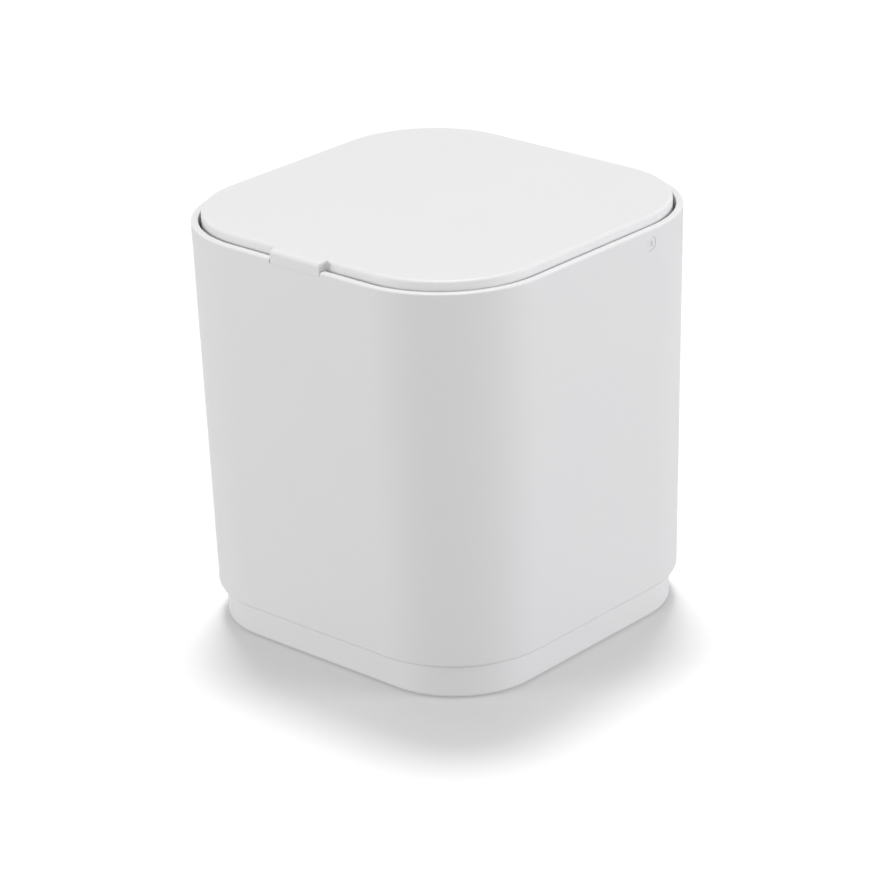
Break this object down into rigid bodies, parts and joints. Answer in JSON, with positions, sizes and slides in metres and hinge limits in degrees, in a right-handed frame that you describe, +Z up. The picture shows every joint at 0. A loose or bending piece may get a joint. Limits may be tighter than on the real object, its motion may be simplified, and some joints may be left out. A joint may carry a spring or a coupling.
{
  "type": "countertop trash can with swing lid",
  "caption": "Small rounded-square countertop bin on a recessed plinth, with an inset flip lid that swings on two side pins and has a finger tab in the front rim.",
  "frame": {"origin": "on the worktop under the middle of the bin, where the non-slip pads rest", "axes": "+Z up, -Y the front with the finger tab, +X to the right when the bin is seen from the front; the hinge line runs along X"},
  "size_m": [0.15, 0.1486, 0.1582],
  "materials": {
    "body_plastic": "fine satin moulded white polypropylene",
    "lid_plastic": "fine satin moulded white polypropylene",
    "pin_plastic": "smooth white acetal",
    "foot_rubber": "matt pale grey non-slip rubber"
  },
  "bodies": {
    "base": {"bin_body": "body_plastic", "hinge_pin_left": "pin_plastic", "hinge_pin_right": "pin_plastic", "foot_front_left": "foot_rubber", "foot_front_right": "foot_rubber", "foot_rear_left": "foot_rubber", "foot_rear_right": "foot_rubber"},
    "swing_lid": {"lid": "lid_plastic"}
  },
  "joints": [
    {"name": "lid_swing", "type": "hinge", "parent": "base", "child": "swing_lid", "pos_m": [0, 0.0285, 0.1494], "axis": [-1, 0, 0], "range_deg": [0, 80]}
  ]
}
